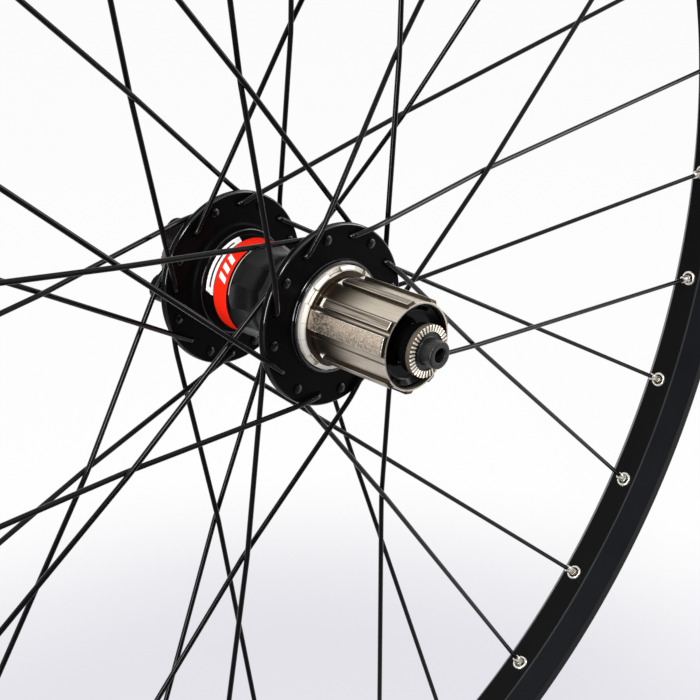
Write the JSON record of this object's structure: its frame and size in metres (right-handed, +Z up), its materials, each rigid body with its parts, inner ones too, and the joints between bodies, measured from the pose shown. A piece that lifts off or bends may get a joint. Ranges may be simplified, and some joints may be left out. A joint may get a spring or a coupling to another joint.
{
  "type": "rear bicycle wheel",
  "caption": "Spoked rear bicycle wheel with a double-wall rim, crossed spokes, a flanged disc-brake hub and a splined freehub that drives through a pawl ratchet.",
  "frame": {"origin": "wheel centre, on the axle's axis midway between the axle ends and in the rim's mid-plane", "axes": "+Y along the axle from the drive side to the rotor side, +Z up, +X to the front of the bicycle"},
  "size_m": [0.5709, 0.145, 0.571],
  "materials": {
    "rim_anodised": "black anodised, satin",
    "eyelet_steel": "bright plated",
    "nipple_brass": "nickel plated",
    "spoke_black": "black oxide, satin",
    "hub_anodised": "black anodised, polished",
    "freehub_nickel": "satin nickel",
    "cap_black": "black anodised",
    "serrated_steel": "bright",
    "bearing_steel": "ground",
    "ratchet_steel": "hardened, oiled",
    "seal_rubber": "matt",
    "cover_black": "gloss"
  },
  "bodies": {
    "axle": {"axle": "cap_black", "end_cap_drive": "cap_black", "end_cap_left": "cap_black", "serrated_ring_drive": "serrated_steel", "serrated_ring_left": "serrated_steel", "hub_spacer": "cap_black", "freehub_spacer": "cap_black", "hub_left_bearing_inner": "bearing_steel", "hub_drive_bearing_inner": "bearing_steel", "freehub_inner_bearing_inner": "bearing_steel", "freehub_outer_bearing_inner": "bearing_steel"},
    "wheel": {"rim": "rim_anodised", "eyelets": "eyelet_steel", "nipples": "nipple_brass", "spokes_drive_outer": "spoke_black", "spokes_drive_inner": "spoke_black", "spokes_left_outer": "spoke_black", "spokes_left_inner": "spoke_black", "hub_shell": "hub_anodised", "hub_left_bearing_outer": "bearing_steel", "hub_drive_bearing_outer": "bearing_steel", "ratchet_ring": "ratchet_steel", "freehub_seal": "seal_rubber"},
    "freehub": {"freehub_body": "freehub_nickel", "freehub_inner_bearing_outer": "bearing_steel", "freehub_outer_bearing_outer": "bearing_steel", "freehub_dust_cover": "cover_black", "pawl_springs": "ratchet_steel"},
    "pawl_1": {"pawl_1": "ratchet_steel"},
    "pawl_2": {"pawl_2": "ratchet_steel"},
    "pawl_3": {"pawl_3": "ratchet_steel"}
  },
  "joints": [
    {"name": "wheel_spin", "type": "hinge", "parent": "axle", "child": "wheel", "pos_m": [0, 0, 0], "axis": [0, 1, 0], "continuous": true},
    {"name": "freehub_spin", "type": "hinge", "parent": "axle", "child": "freehub", "pos_m": [0, 0, 0], "axis": [0, 1, 0], "continuous": true},
    {"name": "pawl_1_fold", "type": "hinge", "parent": "freehub", "child": "pawl_1", "pos_m": [0, -0.0137, 0.0139], "axis": [0, 1, 0], "range_deg": [0, 13], "stiffness_Nm_per_rad": 0.002, "springref_deg": -17.19},
    {"name": "pawl_2_fold", "type": "hinge", "parent": "freehub", "child": "pawl_2", "pos_m": [-0.01204, -0.0137, -0.00695], "axis": [0, 1, 0], "range_deg": [0, 13], "stiffness_Nm_per_rad": 0.002, "springref_deg": -17.19},
    {"name": "pawl_3_fold", "type": "hinge", "parent": "freehub", "child": "pawl_3", "pos_m": [0.01204, -0.0137, -0.00695], "axis": [0, 1, 0], "range_deg": [0, 13], "stiffness_Nm_per_rad": 0.002, "springref_deg": -17.19}
  ]
}
